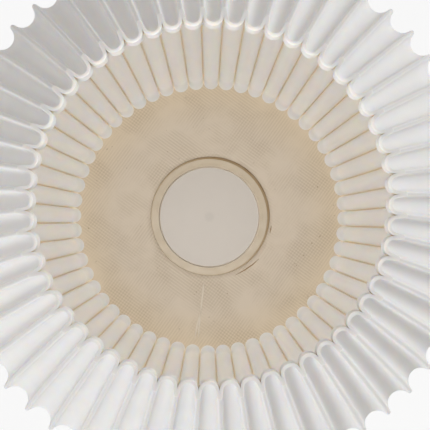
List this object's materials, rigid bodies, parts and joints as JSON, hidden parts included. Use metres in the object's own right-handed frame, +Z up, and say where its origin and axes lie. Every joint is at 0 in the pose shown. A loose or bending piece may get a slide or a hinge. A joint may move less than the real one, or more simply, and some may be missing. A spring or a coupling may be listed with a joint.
{
  "type": "rechargeable table lamp",
  "caption": "Cordless table lamp: an open-topped fluted globe shade lifts off a drum base with a light module, cells, charging inlet and push button.",
  "frame": {"origin": "middle of the foot ring on the table", "axes": "+Z up along the lamp's axis, +Y to the rear panel with the inlet and the button, +X to the lamp's left as seen from behind it"},
  "size_m": [0.1828, 0.1828, 0.1904],
  "materials": {
    "shade_print": "translucent white print with fine layer lines",
    "base_plastic": "moulded, fine matte grain",
    "foot_rubber": "soft matte",
    "bezel_plastic": "cream, satin",
    "diffuser": "milky white diffuser",
    "reflector_white": "glossy white",
    "board_white": "white solder mask over aluminium",
    "led_phosphor": "phosphor gel",
    "aluminium": "milled",
    "steel": "zinc plated",
    "board_green": "green solder mask over glass-fibre board",
    "black_plastic": "moulded",
    "cell_wrap": "shrink wrap",
    "contact_metal": "nickel plated",
    "clear_pipe": "clear acrylic",
    "lead_insulation": "silicone"
  },
  "bodies": {
    "base": {"base_housing": "base_plastic", "base_cover": "base_plastic", "foot_ring": "foot_rubber", "cover_screws": "steel", "ballast_plate": "steel", "ballast_screws": "steel", "battery_tray": "black_plastic", "battery_cell_front": "cell_wrap", "battery_cell_rear": "cell_wrap", "battery_contacts": "contact_metal", "tray_screws": "steel", "led_bezel": "bezel_plastic", "bezel_screws": "steel", "diffuser_lens": "diffuser", "reflector_cup": "reflector_white", "led_board": "board_white", "led_chips": "led_phosphor", "heat_spreader": "aluminium", "module_screws": "steel", "control_board": "board_green", "board_screws": "steel", "usb_c_shell": "contact_metal", "usb_c_tongue": "black_plastic", "tact_switch": "black_plastic", "indicator_led": "led_phosphor", "charge_light_pipe": "clear_pipe", "led_leads": "lead_insulation", "battery_leads": "lead_insulation"},
    "shade": {"shade": "shade_print"},
    "button": {"power_button": "base_plastic", "switch_plunger": "black_plastic"}
  },
  "joints": [
    {"name": "shade_lift", "type": "slide", "parent": "base", "child": "shade", "axis": [0, 0, 1], "range_m": [0, 0.04]},
    {"name": "button_press", "type": "slide", "parent": "base", "child": "button", "axis": [0, -1, 0], "range_m": [0, 0.0005], "stiffness_N_per_m": 3000}
  ]
}
